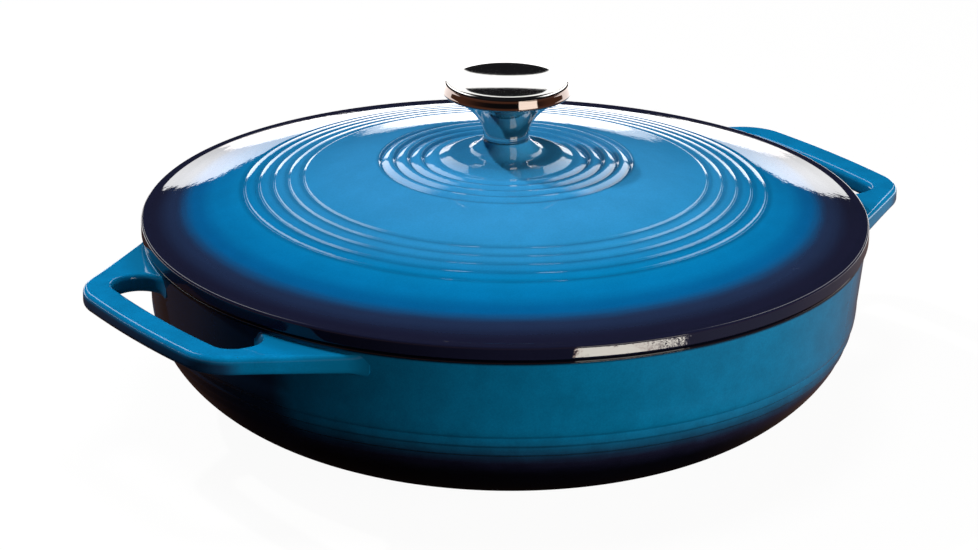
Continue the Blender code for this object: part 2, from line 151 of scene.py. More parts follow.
# Colours of the enamels and metals
LIGHT_BLUE = (0.034, 0.290, 0.612)
BLUE = (0.024, 0.270, 0.580)
DEEP_BLUE = (0.0015, 0.205, 0.480)
RING_BLUE = (0.0005, 0.178, 0.440)
DARK_BLUE = (0.0005, 0.112, 0.320)
NAVY_BLUE = (0.0135, 0.0270, 0.075)
NAVY = (0.0090, 0.0105, 0.031)
WALL_BLUE = (0.0020, 0.165, 0.360)
HANDLE_BLUE = (0.0015, 0.212, 0.485)
# A black for painted shade low on the corner and for the black at the mouth
SHADE_AND_RIM_BLACK = (0.0015, 0.0020, 0.006)
SAND = (0.66, 0.53, 0.36)
SAND_SPECK = (0.30, 0.21, 0.12)
MATT_BLACK = (0.012, 0.012, 0.013)
MATT_BLACK_GRAIN = (0.028, 0.027, 0.026)
STEEL = (0.66, 0.65, 0.63)
DULL_STEEL = (0.61, 0.60, 0.58)
# Darker, brownish steel on the knob's band: a painted reflection
BAND_PAINTED_REFLECTION = (0.28, 0.235, 0.215)
ZINC = (0.56, 0.57, 0.58)
ZINC_YELLOW = (0.60, 0.56, 0.44)
WHITE = (1.0, 1.0, 1.0)

# The lid's spray: its centre beside the axis, and its colours by their radius, in millimetres
LID_SPRAY_CENTRE = (-1.4, 0.6)
LID_SPRAY = [(60.0, LIGHT_BLUE), (88.0, BLUE), (107.0, DEEP_BLUE), (117.0, RING_BLUE), (126.2, DARK_BLUE),
             (134.8, NAVY_BLUE), (144.0, NAVY)]

# Where one colour gives way to another, from first to last, in metres
BLUE_TO_NAVY = (47.0 * MM, 31.0 * MM)
# Black below the navy, where the corner turns under, is painted shade
NAVY_TO_PAINTED_SHADE = (33.0 * MM, 24.0 * MM)
# The black at the mouth: the rim's black edge, widened downwards by painted shadow under the lid's skirt
MOUTH_BLACK_AND_SHADOW = (75.6 * MM, 76.9 * MM)
HANDLE_ROOT_BLEND = ((POT_RADIUS + 15.0) * MM, (POT_RADIUS + 3.0) * MM)
# Painted shade low on the side of a handle's tip: how far out, and how far down
HANDLE_TIP_SHADE = (162.0 * MM, 172.0 * MM)
HANDLE_LOWER_SHADE = ((HANDLE_TOP - 1.4) * MM, (HANDLE_TOP - 3.6) * MM)
# Where the painted reflection on the knob's band sets in
BAND_REFLECTION_BLEND = ((KNOB_RADIUS - 1.3) * MM, (KNOB_RADIUS - 0.9) * MM)

# Where painted shade sets in on the wall behind a handle, by the cosine of the angle to the handle
SHADE_BEHIND_HANDLE = (0.935, 0.968)

# Glass: how it pools beside a groove, darker, with painted shade there too, in pitches of the grooves, and
# its ripples; these fade out down the pot, in metres, and have a depth in millimetres
POOL_SHADE_MIDDLE = 0.12
POOL_SHADE_REACH = (0.06, 0.36)
INNER_POOL_SHADE = 0.34
OUTER_POOL_SHADE = 0.24
RIPPLE_RISE = (4.0 * MM, 24.0 * MM)
ENAMEL_RELIEF = 0.14
ENAMEL_RELIEF_DEPTH = 0.35
GLASS_INDEX = 1.5

# Where the camera stands
CAMERA_PLACE = Vector((-0.9262, -1.2473, 0.6476))
VIEW_DIRECTION = Vector((0.55408, 0.75265, -0.35569))
CAMERA_ROLL = math.radians(0.645)
CAMERA_LENS = 147.2
CAMERA_SENSOR = 36.0

# Level directions of the studio: straight away from the camera, and to its right
AWAY = Vector((0.5929, 0.8053, 0.0))
RIGHT = Vector((0.8053, -0.5929, 0.0))

# The floor, in metres, and where its mirrored brightness sets in
FLOOR_SIZE = 6.0
FLOOR_GAP = 0.4 * MM
FLOOR_BEHIND = (0.30, 0.42)
FLOOR_BESIDE = (0.06, 0.30)
FLOOR_NEAR = (0.65, 0.45)
FLOOR_AROUND = (0.45, 0.75)
FLOOR_LEAST = 0.004
FLOOR_WARM = (1.0, 0.62, 0.5)
FLOOR_COOL = (0.97, 0.95, 1.0)
FLOOR_BROWN = (0.13, 0.065, 0.05)

# The card on the floor: distances in metres, and turns in degrees to the right of the camera
CARD_PIVOT = 20.0
CARD_SLANT = 0.00034
CARD_NEAR_EDGE = (0.340, 0.342)
CARD_FAR_EDGE = (0.362, 0.359)
CARD_TURN = 31.5
CARD_RAGGED = 8.0
CARD_ENDS = (15.0, 13.0)
CARD_TORN = (30.0, 40.0)
CARD_GLOW = 15.0
CARD_WARM = (1.0, 0.95, 0.84)

# The room that is mirrored: degrees to the side of straight behind, and degrees above level.
# The white's level goes between two such bearings from one strength to another.
WHITE_CLIMB = 1.12
WHITE_START = -4.3
WHITE_TOP = 9.7
WHITE_END = (17.0, 16.0)
WHITE_LEVEL = (7.0, 13.0, 1.2, 2.8)
PANEL_INNER = 19.6
PANEL_OUTER = 25.0
PANEL_FOOT = (9.5, 10.5)
PANEL_TOP = (58.0, 48.0)
WINDOW_BEARING = 141.0
WINDOW_HEIGHT = 6.5
WINDOW_SIDES = (18.0, 16.5)
WINDOW_ENDS = (11.0, 10.0)
WINDOW_LIGHT = (3.4, 3.2, 2.9)
ROOM_FADE = (5.0, 14.0)
ROOM_BROWN = (0.17, 0.072, 0.042)
ROOM_DARK = (0.012, 0.012, 0.014)

# Lamps: place, target, size, radiance, colour, and shape where it is no rectangle
KEY_PLACE = Vector((-0.369, 0.545, 0.753)) * 1.5 + Vector((0.0, 0.0, 0.11))
WARM_TURN = math.radians(55.0)
WARM_PLACE = (RIGHT * math.sin(WARM_TURN) - AWAY * math.cos(WARM_TURN)) * 1.2 + Vector((0.0, 0.0, 0.24))
LAMPS = {
    "overhead": ((0.0, 0.0, 1.75), (0.0, 0.0, 0.1), (0.5, 0.5), 17.4, WHITE),
    "key": (KEY_PLACE, (0.0, 0.0, 0.11), (0.06, 0.06), 1542.0, (1.0, 0.99, 0.97), "DISK"),
    "right_front": (WARM_PLACE, (0.0, 0.0, 0.07), (0.70, 0.44), 14.2, (1.0, 0.87, 0.76)),
}

# The card behind the knob, in metres, and its two holes, in millimetres from its middle
KNOB_CARD_PLACE = AWAY * 0.062 + Vector((0.0, 0.0, 0.1665))
KNOB_CARD_TARGET = (0.0, 0.0, 0.1424)
KNOB_CARD_SIZE = (0.090, 0.060)
KNOB_CARD_GLOW = 1.6
HOLE_HALF_WIDTH = 19.5
FAR_HOLE = -12.0
FAR_HOLE_HALF = 6.5
NEAR_HOLE = 4.4
NEAR_HOLE_HALF = 9.6
NEAR_HOLE_EDGE = 3.8


# Node trees

class Tree:
    """Adds nodes to a node tree and joins their sockets."""

    def __init__(self, tree):
        self.tree = tree

    def add(self, kind, *values, out=0, **settings):
        """Adds a node, fills its sockets in order, and gives one of its outputs back.

        A value is a number, a colour, a vector, a socket to join, or None to leave it.
        """
        node = self.tree.nodes.new(kind)
        for name, value in settings.items():
            setattr(node, name, value)
        sockets = [socket for socket in node.inputs if socket.enabled]
        for socket, value in zip(sockets, values):
            self.fill(socket, value)
        return [socket for socket in node.outputs if socket.enabled][out]

    def fill(self, socket, value):
        """Joins a socket to the value's socket, or sets the value on it."""
        if value is None:
            return
        if isinstance(value, bpy.types.NodeSocket):
            self.tree.links.new(value, socket)
        elif isinstance(value, (tuple, Vector)) and socket.type == "RGBA":
            socket.default_value = (*value, 1.0)
        else:
            socket.default_value = value

    def math(self, operation, *values, clamp=False):
        """A Math node."""
        return self.add("ShaderNodeMath", *values, operation=operation, use_clamp=clamp)

    def chain(self, operation, *values):
        """Math nodes that take in one value after another."""
        result = values[0]
        for value in values[1:]:
            result = self.math(operation, result, value)
        return result

    def times(self, *values):
        """The product of the values."""
        return self.chain("MULTIPLY", *values)

    def plus(self, *values):
        """The sum of the values."""
        return self.chain("ADD", *values)

    def minus(self, first, second):
        """The first value less the second."""
        return self.math("SUBTRACT", first, second)

    def most(self, *values):
        """The greatest of the values."""
        return self.chain("MAXIMUM", *values)

    def distance(self, value, centre):
        """How far a value is from another, on either side."""
        return self.math("ABSOLUTE", self.minus(value, centre))

    def line(self, value, pivot, slope, base):
        """A straight line over a value, at its base where the value is at the pivot."""
        return self.plus(self.times(self.minus(value, pivot), slope), base)

    def sway(self, noise, width):
        """A noise as a shift to either side, this wide from end to end."""
        return self.times(self.minus(noise, 0.5), width)

    def vector(self, operation, *values):
        """A Vector Math node."""
        return self.add("ShaderNodeVectorMath", *values, operation=operation)

    def dot(self, vector, direction):
        """Length of a vector along a direction."""
        return self.vector("DOT_PRODUCT", vector, tuple(direction))

    def part(self, vector, axis):
        """One number of a vector: 0 for x, 1 for y, 2 for z."""
        return self.add("ShaderNodeSeparateXYZ", vector, out=axis)

    def point(self):
        """The place on the piece, in its own coordinates."""
        return self.add("ShaderNodeTexCoord", out=3)

    def noise(self, point, scale, detail=3.0, rough=0.6):
        """A cloudy noise about 0.5, this many cells to a unit of length."""
        return self.add("ShaderNodeTexNoise", point, scale, detail, rough)

    def span(self, value, low, high, to_low=0.0, to_high=1.0, ease="SMOOTHSTEP"):
        """The value's place between two others, eased, on a scale of its own."""
        return self.add("ShaderNodeMapRange", value, low, high, to_low, to_high, interpolation_type=ease)

    def spread(self, noise, to_low=0.0, to_high=1.0, ease="SMOOTHSTEP"):
        """A noise on a scale of its own; nearly all of it lies between 0.3 and 0.7."""
        return self.span(noise, 0.3, 0.7, to_low, to_high, ease)

    def mix(self, share, first, second, blend="MIX"):
        """A mix of two colours."""
        return self.add("ShaderNodeMix", share, first, second, data_type="RGBA", blend_type=blend)

    def shade(self, colour, factor):
        """A colour times a factor."""
        return self.mix(1.0, colour, factor, "MULTIPLY")

    def glow(self, colour, strength):
        """A surface that gives off light."""
        return self.add("ShaderNodeEmission", colour, strength)

    def ramp(self, value, stops):
        """A colour that runs through stops of (millimetres, colour)."""
        low, high = stops[0][0], stops[-1][0]
        node = self.tree.nodes.new("ShaderNodeValToRGB")
        ramp = node.color_ramp
        ramp.interpolation = "EASE"
        while len(ramp.elements) < len(stops):
            ramp.elements.new(0.5)
        for element, (place, colour) in zip(ramp.elements, stops):
            element.position = (place - low) / (high - low)
            element.color = (*colour, 1.0)
        self.fill(node.inputs["Fac"], self.span(value, low * MM, high * MM, ease="LINEAR"))
        return node.outputs["Color"]


def shader_tree(name):
    """A new material, its tree, and its Principled shader."""
    material = bpy.data.materials.new(name)
    material.use_nodes = True
    return material, Tree(material.node_tree), material.node_tree.nodes["Principled BSDF"]


def in_scene(name, data):
    """A new object with this data, in the scene."""
    item = bpy.data.objects.new(name, data)
    bpy.context.scene.collection.objects.link(item)
    return item


# Materials

def around_axis(tree, centre=(0.0, 0.0)):
    """Where on the piece the surface is, from its axis or from one beside it."""
    point = tree.point()
    level = tree.vector("SUBTRACT", point, (centre[0] * MM, centre[1] * MM, 0.0))
    level = tree.vector("MULTIPLY", level, (1.0, 1.0, 0.0))
    return Place(point, tree.vector("LENGTH", level), tree.vector("NORMALIZE", level), tree.part(point, 2))


def turned_noise(tree, toward, along, around_scale, along_scale, detail=2.0):
    """Noise drawn out round the axis, as turning and spraying leave it."""
    scaled = tree.vector("SCALE", toward, around_scale)
    stretched = tree.times(along, along_scale)
    place = tree.add("ShaderNodeCombineXYZ", tree.part(scaled, 0), tree.part(scaled, 1), stretched)
    return tree.noise(place, 1.0, detail, 0.55)


def fine_mottle(tree, point, share):
    """A factor near 1 that varies from millimetre to millimetre, as glass frit does."""
    return tree.spread(tree.noise(point, 1300.0, 2.0, 0.5), 1.0 - share, 1.0 + share, "LINEAR")


def sprayed(tree, along, streak, streak_width, mottle, mottle_width):
    """A place that sways to and fro, in millimetres, as the edge of a sprayed coat does."""
    drift = tree.plus(tree.sway(streak, streak_width * MM), tree.sway(mottle, mottle_width * MM))
    return tree.plus(along, drift)


def surface(tree, shader, colour, roughness, relief, strength, depth, metallic=0.0):
    """Colour, gloss and fine relief of a surface; the relief's depth is in millimetres."""
    tree.fill(shader.inputs["Base Color"], colour)
    tree.fill(shader.inputs["Metallic"], metallic)
    tree.fill(shader.inputs["Roughness"], roughness)
    tree.fill(shader.inputs["Normal"], tree.add("ShaderNodeBump", strength, depth * MM, 1.0, relief))


def enamel_finish(tree, shader, point, colour, ripple, peel_scale, roughness):
    """Glass enamel over a casting: faint ripples, orange peel and a hard gloss."""
    peel = tree.noise(point, peel_scale, 2.0, 0.5)
    relief = tree.plus(tree.times(ripple, 0.55), tree.times(peel, 0.45))
    surface(tree, shader, colour, roughness, relief, ENAMEL_RELIEF, ENAMEL_RELIEF_DEPTH)
    shader.inputs["IOR"].default_value = GLASS_INDEX


def pooled_and_shaded(tree, radius, rings, share):
    """A factor below 1 on the outer side of each groove of a group: darker pooled glass, and painted
    shade.
    """
    place = tree.math("DIVIDE", tree.minus(radius, rings["First"] * MM), rings["Pitch"] * MM)
    nearest = tree.math("ROUND", tree.minus(place, POOL_SHADE_MIDDLE))
    ring = tree.math("MINIMUM", tree.most(nearest, 0.0), rings["Count"] - 1.0)
    off = tree.distance(place, tree.plus(ring, POOL_SHADE_MIDDLE))
    return tree.span(off, *POOL_SHADE_REACH, 1.0 - share, 1.0)


def lid_enamel():
    """Blue enamel that is sprayed darker towards the rim, to navy."""
    material, tree, shader = shader_tree("enamel_lid_blue")
    at = around_axis(tree, LID_SPRAY_CENTRE)
    mottle = tree.noise(at.point, 55.0)
    streak = turned_noise(tree, at.toward, at.radius, 5.0, 700.0, 3.0)
    colour = tree.ramp(sprayed(tree, at.radius, streak, 2.2, mottle, 2.0), LID_SPRAY)
    colour = tree.shade(colour, tree.spread(mottle, 0.95, 1.04))
    colour = tree.shade(colour, fine_mottle(tree, at.point, 0.05))
    true_radius = around_axis(tree).radius
    inner_pool_shade = pooled_and_shaded(tree, true_radius, INNER_RINGS, INNER_POOL_SHADE)
    outer_pool_shade = pooled_and_shaded(tree, true_radius, OUTER_RINGS, OUTER_POOL_SHADE)
    # darker pooled glass and painted shade beside each groove
    colour = tree.shade(colour, tree.times(inner_pool_shade, outer_pool_shade))
    ripple = turned_noise(tree, at.toward, at.radius, 14.0, 260.0)
    enamel_finish(tree, shader, at.point, colour, ripple, 420.0, 0.025)
    return material


def wall_shade_and_black_rim(tree, at, colour):
    """The wall's colour, with painted shade behind each handle, and black at the mouth where painted
    shadow under the lid widens the rim's black edge.
    """
    facing_handle = tree.math("ABSOLUTE", tree.part(at.toward, 0))
    # painted shade: navy on the wall behind each handle
    painted_shade_behind_handle = tree.times(tree.span(facing_handle, *SHADE_BEHIND_HANDLE), 0.9)
    colour = tree.mix(painted_shade_behind_handle, colour, NAVY)
    # black at the mouth: the rim's black edge and painted shadow under the lid
    return tree.mix(tree.span(at.height, *MOUTH_BLACK_AND_SHADOW), colour, SHADE_AND_RIM_BLACK)


def handle_blend_and_shade(tree, at, colour):
    """A handle's colour, the wall's blue at its roots, and navy painted shade low on the side of its tip.
    """
    colour = tree.mix(tree.span(at.radius, *HANDLE_ROOT_BLEND, 0.0, 0.95), colour, WALL_BLUE)
    sideways = tree.math("ABSOLUTE", tree.part(at.point, 0))
    # painted shade: navy low on the side of the tip
    tip_shade = tree.span(sideways, *HANDLE_TIP_SHADE, 0.0, 0.85)
    return tree.mix(tree.times(tip_shade, tree.span(at.height, *HANDLE_LOWER_SHADE)), colour, NAVY_BLUE)


def pot_enamel(name, blue, spray_and_shade):
    """Blue enamel of the wall or a handle, sprayed darker down the corner to navy, then black where the
    corner turns under, which is painted shade.
    """
    material, tree, shader = shader_tree(name)
    at = around_axis(tree)
    mottle = tree.noise(at.point, 90.0, 4.0)
    streak = turned_noise(tree, at.toward, at.height, 6.0, 600.0, 3.0)
    place = sprayed(tree, at.height, streak, 2.4, mottle, 2.4)
    colour = tree.mix(tree.span(place, *BLUE_TO_NAVY), blue, NAVY)
    # painted shade: black where the corner turns under
    colour = tree.mix(tree.span(place, *NAVY_TO_PAINTED_SHADE), colour, SHADE_AND_RIM_BLACK)
    colour = tree.shade(colour, tree.spread(mottle, 0.91, 1.08))
    colour = tree.shade(colour, fine_mottle(tree, at.point, 0.08))
    colour = spray_and_shade(tree, at, colour)
    ripple = turned_noise(tree, at.toward, at.height, 12.0, 300.0)
    ripple = tree.times(ripple, tree.span(at.height, *RIPPLE_RISE))
    enamel_finish(tree, shader, at.point, colour, ripple, 420.0, 0.04)
    return material


def sand_enamel():
    """Sand coloured enamel inside, with fine specks."""
    material, tree, shader = shader_tree("enamel_sand_inside")
    at = around_axis(tree)
    specks = tree.add("ShaderNodeTexVoronoi", at.point, 900.0, feature="F1")
    chosen = tree.span(tree.noise(at.point, 260.0, 2.0, 0.5), 0.52, 0.60)
    speck = tree.times(tree.span(specks, 0.16, 0.24, 1.0, 0.0), chosen)
    colour = tree.shade(SAND, tree.spread(tree.noise(at.point, 30.0), 0.93, 1.04))
    colour = tree.mix(speck, colour, SAND_SPECK)
    ripple = turned_noise(tree, at.toward, at.height, 7.0, 400.0)
    enamel_finish(tree, shader, at.point, colour, ripple, 380.0, 0.12)
    return material


def bare_rim():
    """Matt black ground coat on the rims that touch."""
    material, tree, shader = shader_tree("ground_coat_black")
    grain = tree.noise(tree.point(), 1500.0)
    surface(tree, shader, tree.mix(grain, MATT_BLACK, MATT_BLACK_GRAIN), tree.spread(grain, 0.42, 0.6),
            grain, 0.35, 0.2)
    return material


def turned_steel():
    """Polished steel with the faint rings of its last turning cut, and a painted reflection: darker,
    brownish steel on the band.
    """
    material, tree, shader = shader_tree("polished_steel_knob")
    at = around_axis(tree)
    lines = turned_noise(tree, at.toward, tree.plus(at.radius, at.height), 1.5, 5200.0, 3.0)
    tint = tree.mix(tree.spread(tree.noise(at.point, 120.0)), DULL_STEEL, STEEL)
    # painted reflection: darker, brownish steel on the band
    tint = tree.mix(tree.span(at.radius, *BAND_REFLECTION_BLEND), tint, BAND_PAINTED_REFLECTION)
    tint = tree.shade(tint, tree.spread(lines, 0.96, 1.0))
    surface(tree, shader, tint, tree.spread(lines, 0.03, 0.06), lines, 0.03, 0.04, metallic=1.0)
    return material


def zinc_plate(name, grain_scale):
    """Zinc plate with a faint yellow passivation and barrel marks."""
    material, tree, shader = shader_tree(name)
    point = tree.point()
    yellowed = tree.span(tree.noise(point, 300.0), 0.35, 0.7)
    grain = tree.noise(point, grain_scale)
    surface(tree, shader, tree.mix(yellowed, ZINC, ZINC_YELLOW), tree.spread(grain, 0.24, 0.42),
            grain, 0.2, 0.08, metallic=1.0)
    return material


# Turned castings

def relief_depth(tree, along, group):
    """Depth of one group of rings: rounded shoulders that meet in a narrow groove."""
    from_first = tree.minus(along, group["First"])
    led = tree.math("DIVIDE", tree.plus(from_first, group["Lead in"]), group["Pitch"])
    last = tree.minus(group["Count"], 1.0)
    ring = tree.math("MINIMUM", tree.most(tree.math("FLOOR", led), 0.0), last)
    offset = tree.minus(from_first, tree.times(ring, group["Pitch"]))
    before = tree.math("DIVIDE", tree.times(offset, -1.0), group["Lead in"])
    after = tree.math("DIVIDE", offset, group["Lead out"])
    away = tree.math("SMOOTH_MAX", before, after, 0.12)
    share = tree.math("SUBTRACT", 1.0, away, clamp=True)
    return tree.times(tree.math("POWER", share, 1.08), group["Depth"])


def whole_rows(tree, index, size):
    """How many whole rows of this size lie before an index."""
    return tree.math("FLOOR", tree.math("DIVIDE", tree.plus(index, 0.5), size))


def turning_tree(name, groups):
    """A tree that sinks rings into a profile and turns it about Z into a closed skin."""
    group = bpy.data.node_groups.new(name, "GeometryNodeTree")
    group.interface.new_socket("Profile", in_out="INPUT", socket_type="NodeSocketGeometry")
    group.interface.new_socket("Piece", in_out="OUTPUT", socket_type="NodeSocketGeometry")
    names = ["Facets", "Ring axis", "Sink axis", "Outside coat", "Inside coat", "Bare coat"]
    kinds = ["Int", "Vector", "Vector", "Material", "Material", "Material"]
    for which in groups:
        for size in STEP_RINGS:
            names.append(which + " " + size.lower())
            kinds.append("Float")
    for label, kind in zip(names, kinds):
        group.interface.new_socket(label, in_out="INPUT", socket_type="NodeSocket" + kind)
    tree = Tree(group)
    given = group.nodes.new("NodeGroupInput").outputs
    profile = given["Profile"]
    point = tree.add("GeometryNodeInputPosition")
    along = tree.vector("DOT_PRODUCT", point, given["Ring axis"])
    depth = tree.plus(0.0, 0.0)
    for which in groups:
        sizes = {size: given[which + " " + size.lower()] for size in STEP_RINGS}
        depth = tree.plus(depth, relief_depth(tree, along, sizes))
    on_rings = tree.add("GeometryNodeInputNamedAttribute", "ringed", data_type="FLOAT")
    depth = tree.times(depth, on_rings)
    sink = tree.vector("SCALE", given["Sink axis"], depth)
    sunk = tree.add("GeometryNodeSetPosition", profile, None, None, sink)
    rows = tree.add("GeometryNodeAttributeDomainSize", profile, component="MESH")
    columns = tree.plus(given["Facets"], 1.0)
    grid = tree.add("GeometryNodeMeshGrid", 1.0, 1.0, rows, columns)
    index = tree.add("GeometryNodeInputIndex")
    row = whole_rows(tree, index, columns)
    column = tree.minus(index, tree.times(row, columns))
    place = tree.add("GeometryNodeSampleIndex", sunk, point, row, data_type="FLOAT_VECTOR")
    turn = tree.math("DIVIDE", tree.times(column, math.tau), given["Facets"])
    spun = tree.add("ShaderNodeVectorRotate", place, None, turn, rotation_type="Z_AXIS")
    skin = tree.add("GeometryNodeSetPosition", grid, None, spun)
    strip = whole_rows(tree, index, given["Facets"])
    coat_number = tree.add("GeometryNodeInputNamedAttribute", "coat", data_type="FLOAT")
    coat = tree.add("GeometryNodeSampleIndex", profile, coat_number, strip, data_type="FLOAT")
    skin = tree.add("GeometryNodeSetMaterial", skin, None, given["Outside coat"])
    for number, label in ((INSIDE, "Inside coat"), (BARE, "Bare coat")):
        chosen = tree.add("FunctionNodeCompare", coat, float(number), data_type="FLOAT", operation="EQUAL")
        skin = tree.add("GeometryNodeSetMaterial", skin, chosen, given[label])
    skin = tree.add("GeometryNodeMergeByDistance", skin, None, WELD)
    skin = tree.add("GeometryNodeSetShadeSmooth", skin, None, True)
    skin = tree.add("GeometryNodeRealizeInstances", skin)
    result = group.nodes.new("NodeGroupOutput")
    group.links.new(skin, result.inputs["Piece"])
    return group


def plain_mesh(piece, name):
    """Makes the piece's evaluated shape its own mesh and removes its modifiers."""
    depsgraph = bpy.context.evaluated_depsgraph_get()
    mesh = bpy.data.meshes.new_from_object(piece.evaluated_get(depsgraph))
    mesh.name = name
    piece.modifiers.clear()
    piece.data = mesh


def outward(mesh):
    """Turns every face of a closed mesh outwards."""
    shape = bmesh.new()
    shape.from_mesh(mesh)
    bmesh.ops.recalc_face_normals(shape, faces=shape.faces)
    shape.to_mesh(mesh)
    shape.free()


def turned_piece(name, profile, facets, coats, rings=None,
                 ring_axis=(1.0, 0.0, 0.0), sink_axis=(0.0, 0.0, -1.0)):
    """A piece turned from a profile; the coats are those outside, inside and on bare rims."""
    rings = rings or {}
    mesh = bpy.data.meshes.new(name + "_profile")
    mesh.from_pydata([(point.radius * MM, 0.0, point.height * MM) for point in profile], [], [])
    for label in ("coat", "ringed"):
        attribute = mesh.attributes.new(label, "FLOAT", "POINT")
        attribute.data.foreach_set("value", [float(getattr(point, label)) for point in profile])
    piece = in_scene(name, mesh)
    modifier = piece.modifiers.new("turning", "NODES")
    modifier.node_group = turning_tree("turning_of_" + name, rings)
    given = {"Facets": facets, "Ring axis": ring_axis, "Sink axis": sink_axis,
             "Outside coat": coats[0], "Inside coat": coats[1], "Bare coat": coats[2]}
    for which, sizes in rings.items():
        for size, value in sizes.items():
            given[which + " " + size.lower()] = float(value) if size == "Count" else value * MM
    for socket in modifier.node_group.interface.items_tree:
        if socket.in_out == "INPUT" and socket.name in given:
            modifier[socket.identifier] = given[socket.name]
    plain_mesh(piece, name)
    outward(piece.data)
    return piece


# Profiles, in millimetres

def spaced(first, last, step):
    """Evenly spaced values from one to another, both included."""
    parts = max(1, math.ceil(abs(last - first) / step))
    return [first + (last - first) * i / parts for i in range(parts + 1)]


def arc(centre, radii, start, end, parts):
    """Points on an ellipse from one angle to another, in degrees, both included."""
    angles = [math.radians(start + (end - start) * i / parts) for i in range(parts + 1)]
    return [(centre[0] + radii[0] * math.cos(a), centre[1] + radii[1] * math.sin(a)) for a in angles]


def rounded(corners, parts=5):
    """A line through corners (x, y, radius) with each corner rounded by its radius."""
    points = []
    for index, (x, y, radius) in enumerate(corners):
        corner = Vector((x, y))
        if radius == 0.0 or index in (0, len(corners) - 1):
            points.append(corner)
            continue
        back = (Vector(corners[index - 1][:2]) - corner).normalized()
        on = (Vector(corners[index + 1][:2]) - corner).normalized()
        half = back.angle(on) / 2
        middle = corner + (back + on).normalized() * radius / math.sin(half)
        start = corner + back * radius / math.tan(half) - middle
        end = corner + on * radius / math.tan(half) - middle
        sweep = start.angle_signed(end)
        for i in range(parts + 1):
            turn = -sweep * i / parts
            points.append(middle + Matrix.Rotation(turn, 2) @ start)
    return [(point.x, point.y) for point in points]


def coated(points, coat, ringed=0.0):
    """Profile points with the number of their coat."""
    return [ProfilePoint(radius, height, coat, ringed) for radius, height in points]


def eased(line, place):
    """Value at a place on a smooth line through stations of (place, value, slope)."""
    part = 0
    while part < len(line) - 2 and place > line[part + 1][0]:
        part += 1
    (start, low, first), (end, high, last) = line[part], line[part + 1]
    span = end - start
    t = (place - start) / span
    value = low * (1 + 2 * t) * (1 - t) ** 2 + high * t * t * (3 - 2 * t)
    return value + span * t * (1 - t) * (first * (1 - t) - last * t)


def crown_height(radius):
    """Height of the lid's crown line at a radius."""
    return CROWN_TOP - eased(CROWN_FALL, radius)


def boss_height(radius):
    """Height of the boss's concave side at a radius."""
    return crown_height(radius) + eased(BOSS_LINE, radius)


def ring_radii(rings):
    """Radii that follow the relief of one group of rings closely."""
    radii = []
    for ring in range(rings["Count"]):
        bottom = rings["First"] + ring * rings["Pitch"]
        radii += spaced(bottom - rings["Lead in"], bottom - RING_STEP, RING_STEP)
        radii += [bottom - GROOVE_STEP, bottom - GROOVE_HALF, bottom + GROOVE_HALF]
        radii += spaced(bottom + GROOVE_STEP, bottom + rings["Lead out"], GROOVE_STEP)
        radii += [bottom + rings["Lead out"] + share * 0.97 for share in (0.33, 1.0)]
    return radii


def lid_profile():
    """From the hole's top edge over the crown, down the skirt and back underneath."""
    side = [(radius, boss_height(radius)) for radius in spaced(BOSS_RADIUS, BOSS_FOOT - 0.6, 0.55)]
    top = [(HOLE_RADIUS, BOSS_TOP), (BOSS_RADIUS - 2.0, BOSS_TOP), (BOSS_RADIUS - 0.55, BOSS_TOP)]
    top += [(BOSS_RADIUS - 0.38, BOSS_TOP - 0.04), (BOSS_RADIUS - 0.16, BOSS_TOP - 0.18)]
    crown = ring_radii(INNER_RINGS)
    crown += spaced(crown[-1] + 0.6, OUTER_RINGS["First"] - OUTER_RINGS["Lead in"] - 0.5, 2.0)
    crown += ring_radii(OUTER_RINGS)
    crown += spaced(crown[-1] + 0.7, FLANGE_RADIUS - 1.4, 1.6)
    dome = [(BOSS_FOOT - 0.2, crown_height(BOSS_FOOT) + 0.08)]
    dome += [(radius, crown_height(radius)) for radius in [BOSS_FOOT + 0.3, BOSS_FOOT + 1.2] + crown]
    before = (FLANGE_RADIUS - 1.0, crown_height(FLANGE_RADIUS - 1.0), 0.0)
    flange = (FLANGE_RADIUS + 0.4, crown_height(FLANGE_RADIUS + 0.4), 2.5)
    rim = rounded([before, flange, (LID_RADIUS, FLANGE_EDGE, 1.1), (LID_RADIUS, FLANGE_EDGE - 1.3, 0.0),
                   (LID_RADIUS, LID_BOTTOM + 0.7, 0.0), (LID_RADIUS, LID_BOTTOM, 0.5),
                   (LIP_RADIUS + 4.4, LID_BOTTOM, 0.0)])
    lip = rounded([(LIP_RADIUS + 4.2, LID_BOTTOM, 0.0), (LIP_RADIUS, LID_BOTTOM, 0.5),
                   (LIP_RADIUS, LIP_BOTTOM, 0.8), (LIP_INNER, LIP_BOTTOM, 0.8),
                   (LIP_INNER, crown_height(LIP_INNER) - LID_THICKNESS, 1.5),
                   (LIP_INNER - 4.0, crown_height(LIP_INNER - 4.0) - LID_THICKNESS, 0.0)])
    under = [(radius, crown_height(radius) - LID_THICKNESS)
             for radius in spaced(LIP_INNER - 6.0, PAD_RADIUS + 0.8, 3.5)]
    seat = CROWN_TOP - LID_THICKNESS
    under += [(PAD_RADIUS, seat), (HOLE_RADIUS, seat), (HOLE_RADIUS, BOSS_TOP)]
    return (coated(top + side, OUTSIDE) + coated(dome, OUTSIDE, 1.0) + coated(rim, OUTSIDE)
            + coated(lip[:-1], BARE) + coated([lip[-1]] + under, INSIDE))


def wall_radius(height):
    """Outer radius of the pot at a height, on the wall or the corner."""
    if height >= CORNER_HEIGHT:
        share = (height - CORNER_HEIGHT) / (POT_HEIGHT - CORNER_HEIGHT)
        return BASE_RADIUS + CORNER_WIDTH + WALL_LEAN * share
    return BASE_RADIUS + CORNER_WIDTH * math.sqrt(1 - ((CORNER_HEIGHT - height) / CORNER_HEIGHT) ** 2)


